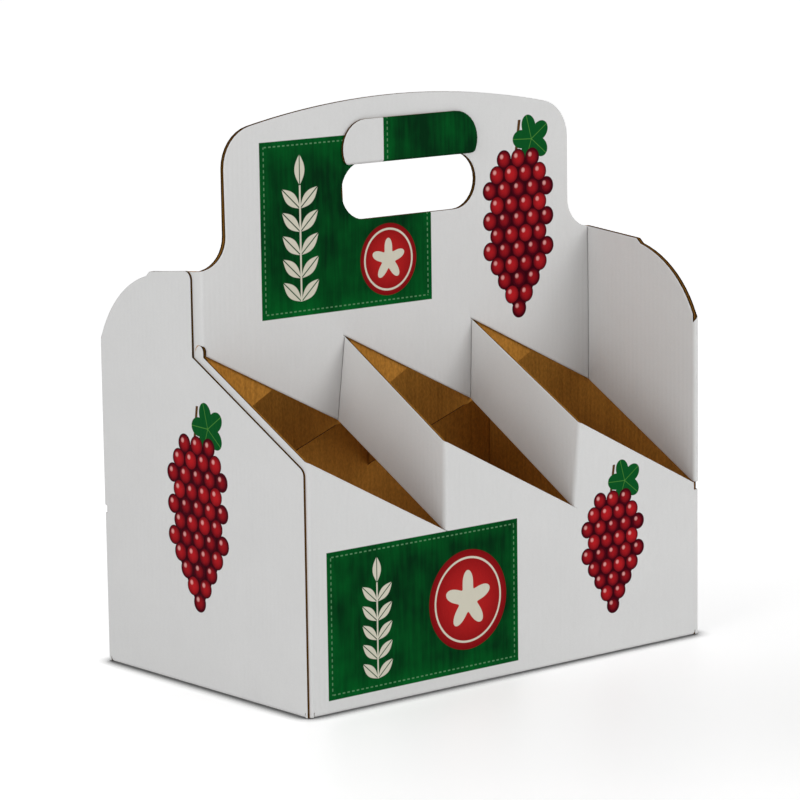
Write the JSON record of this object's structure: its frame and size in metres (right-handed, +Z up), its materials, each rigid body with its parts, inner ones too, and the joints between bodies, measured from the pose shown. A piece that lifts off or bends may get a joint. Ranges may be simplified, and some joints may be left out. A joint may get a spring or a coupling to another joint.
{
  "type": "cardboard bottle carrier",
  "caption": "Folded corrugated-board carrier for wine bottles, with open cells either side of a tall handle panel, slanting dividers and a hand hole with a hinged flap.",
  "frame": {"origin": "on the table, under the middle of the box", "axes": "+Z up along the handle's height, +X along the front wall to the right, +Y from the front wall to the back wall"},
  "size_m": [0.27, 0.17, 0.296],
  "materials": {
    "board": "white coated liner outside with flat printed colour, plain brown kraft liner inside, raw fluted edges",
    "flap_board": "printed white coated liner outside, plain brown kraft liner inside, raw fluted edges"
  },
  "bodies": {
    "carrier": {"carrier": "board"},
    "hand_flap": {"hand_flap": "flap_board"}
  },
  "joints": [
    {"name": "hand_flap_hinge", "type": "hinge", "parent": "carrier", "child": "hand_flap", "pos_m": [0.005, -0.0016, 0.2627], "axis": [1, 0, 0], "range_deg": [0, 90]}
  ]
}
